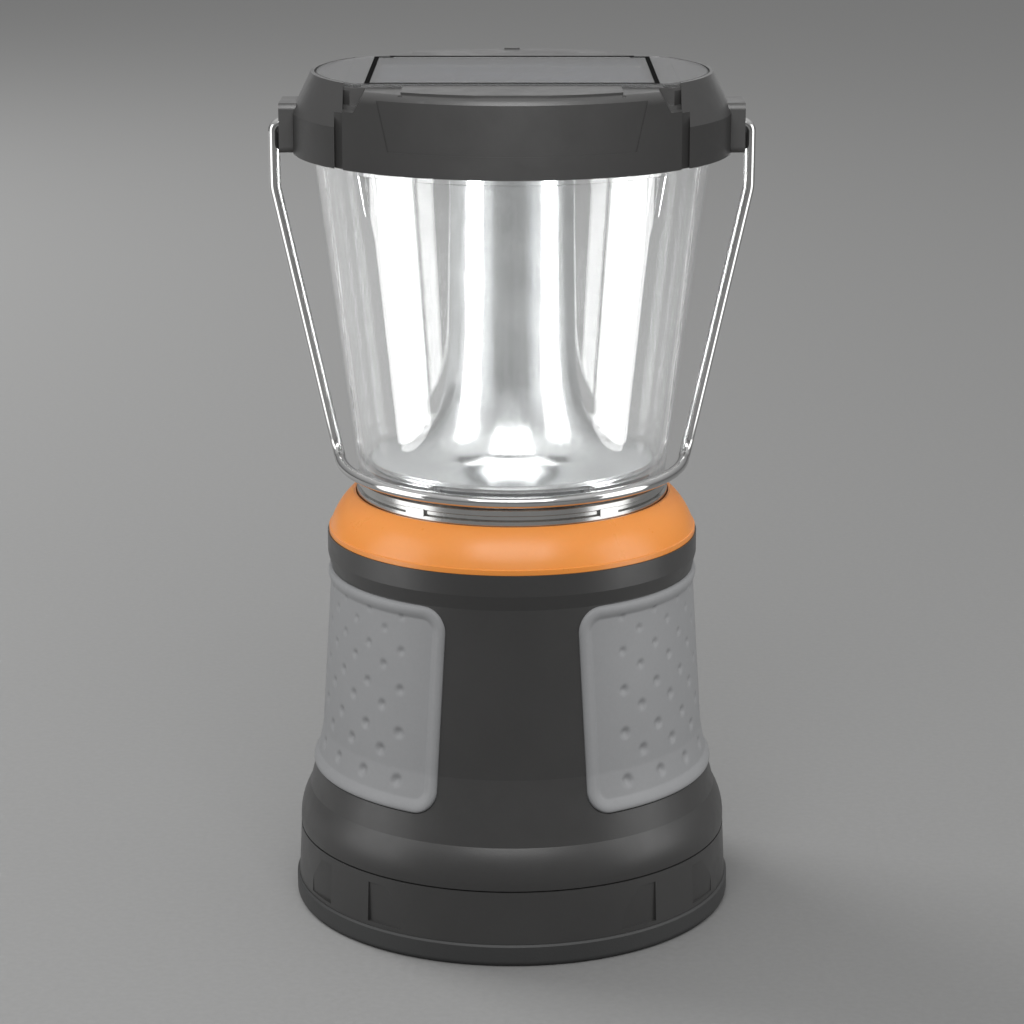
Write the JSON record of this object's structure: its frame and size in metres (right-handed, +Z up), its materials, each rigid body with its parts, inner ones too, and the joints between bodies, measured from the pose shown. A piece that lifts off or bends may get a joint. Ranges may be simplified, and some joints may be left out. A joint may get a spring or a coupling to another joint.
{
  "type": "solar lantern",
  "caption": "Solar camping lantern: clear tapered globe over a trumpet reflector, solar panel in the cap, folding wire bail, gripped battery body with a twist-off base.",
  "frame": {"origin": "centre of the foot ring's underside, on the vertical axis", "axes": "+Z up the lantern, +X along the bail's pivot line, -Y towards the plain front, +Y towards the control panel"},
  "size_m": [0.1326, 0.1238, 0.235],
  "materials": {
    "charcoal_plastic": "fine satin texture",
    "grip_rubber": "soft matte",
    "foot_rubber": "matte",
    "seal_rubber": "matte",
    "orange_plastic": "satin gloss",
    "dark_plated_plastic": "dark metallised gloss",
    "clear_plastic": "polished clear",
    "reflector_metal": "satin metallised",
    "bail_steel": "polished plated wire",
    "spring_steel": "bright",
    "nickel_strip": "nickel plated",
    "inner_plastic": "matte",
    "white_plastic": "matte",
    "bush_nylon": "natural",
    "cell_can": "wrapped can",
    "circuit_board": "solder mask",
    "board_parts": "moulded packages",
    "screw_steel": "zinc plated",
    "sink_aluminium": "cast and machined",
    "led_phosphor": "phosphor dome",
    "solar_silicon": "anti-reflection coated silicon",
    "black_gloss_plastic": "gloss",
    "liner_plastic": "satin gloss",
    "wire_insulation": "extruded",
    "tinned_copper": "tinned",
    "socket_steel": "drawn shell"
  },
  "bodies": {
    "lantern": {"contact_plate": "inner_plastic", "contact_springs": "spring_steel", "lower_contacts": "nickel_strip", "battery_cell_1": "cell_can", "battery_cell_2": "cell_can", "battery_cell_3": "cell_can", "battery_cell_4": "cell_can", "battery_carrier": "inner_plastic", "upper_contact_plate": "inner_plastic", "upper_contacts": "nickel_strip", "cover_seal": "seal_rubber", "body_shell": "charcoal_plastic", "grip_left": "grip_rubber", "grip_right": "grip_rubber", "deck": "inner_plastic", "deck_screws": "screw_steel", "main_board": "circuit_board", "main_board_parts": "board_parts", "main_board_screws": "screw_steel", "collar_ring": "orange_plastic", "neck_ring": "dark_plated_plastic", "globe_gasket": "seal_rubber", "globe": "clear_plastic", "reflector": "reflector_metal", "reflector_seat": "inner_plastic", "column": "white_plastic", "column_screws": "screw_steel", "wire_harness": "wire_insulation", "cap_bezel": "charcoal_plastic", "cap_underside": "inner_plastic", "rim_gasket": "seal_rubber", "led_window": "clear_plastic", "led_board": "circuit_board", "led_board_spacers": "white_plastic", "leds": "led_phosphor", "heat_sink": "sink_aluminium", "solar_board": "black_gloss_plastic", "solar_cells": "solar_silicon", "solar_busbars": "tinned_copper", "solar_frame": "black_gloss_plastic", "top_liner_left": "liner_plastic", "top_liner_right": "liner_plastic", "top_cover": "clear_plastic", "cap_screws": "screw_steel", "bail_bushes": "bush_nylon", "control_panel": "black_gloss_plastic", "button_spring": "spring_steel", "button_board": "circuit_board", "tact_switch": "board_parts", "indicator": "clear_plastic", "usb_socket": "socket_steel", "usb_board": "circuit_board", "usb_hinge_pin": "screw_steel"},
    "bail": {"bail": "bail_steel", "bail_clips": "spring_steel"},
    "cover": {"base_cover": "charcoal_plastic", "foot_ring": "foot_rubber"},
    "button": {"power_button": "grip_rubber"},
    "flap": {"usb_cover": "seal_rubber"}
  },
  "joints": [
    {"name": "bail_swing", "type": "hinge", "parent": "lantern", "child": "bail", "pos_m": [0, 0, 0.2205], "axis": [-1, 0, 0], "range_deg": [0, 300]},
    {"name": "cover_twist", "type": "hinge", "parent": "lantern", "child": "cover", "pos_m": [0, 0, 0], "axis": [0, 0, -1], "range_deg": [0, 28]},
    {"name": "button_press", "type": "slide", "parent": "lantern", "child": "button", "axis": [0, -1, 0], "range_m": [0, 0.0015], "stiffness_N_per_m": 1200, "springref_m": -0.0003, "deforming": ["button_spring"]},
    {"name": "flap_swing", "type": "hinge", "parent": "lantern", "child": "flap", "pos_m": [0, 0.0543, 0.0618], "axis": [1, 0, 0], "range_deg": [0, 110]}
  ]
}
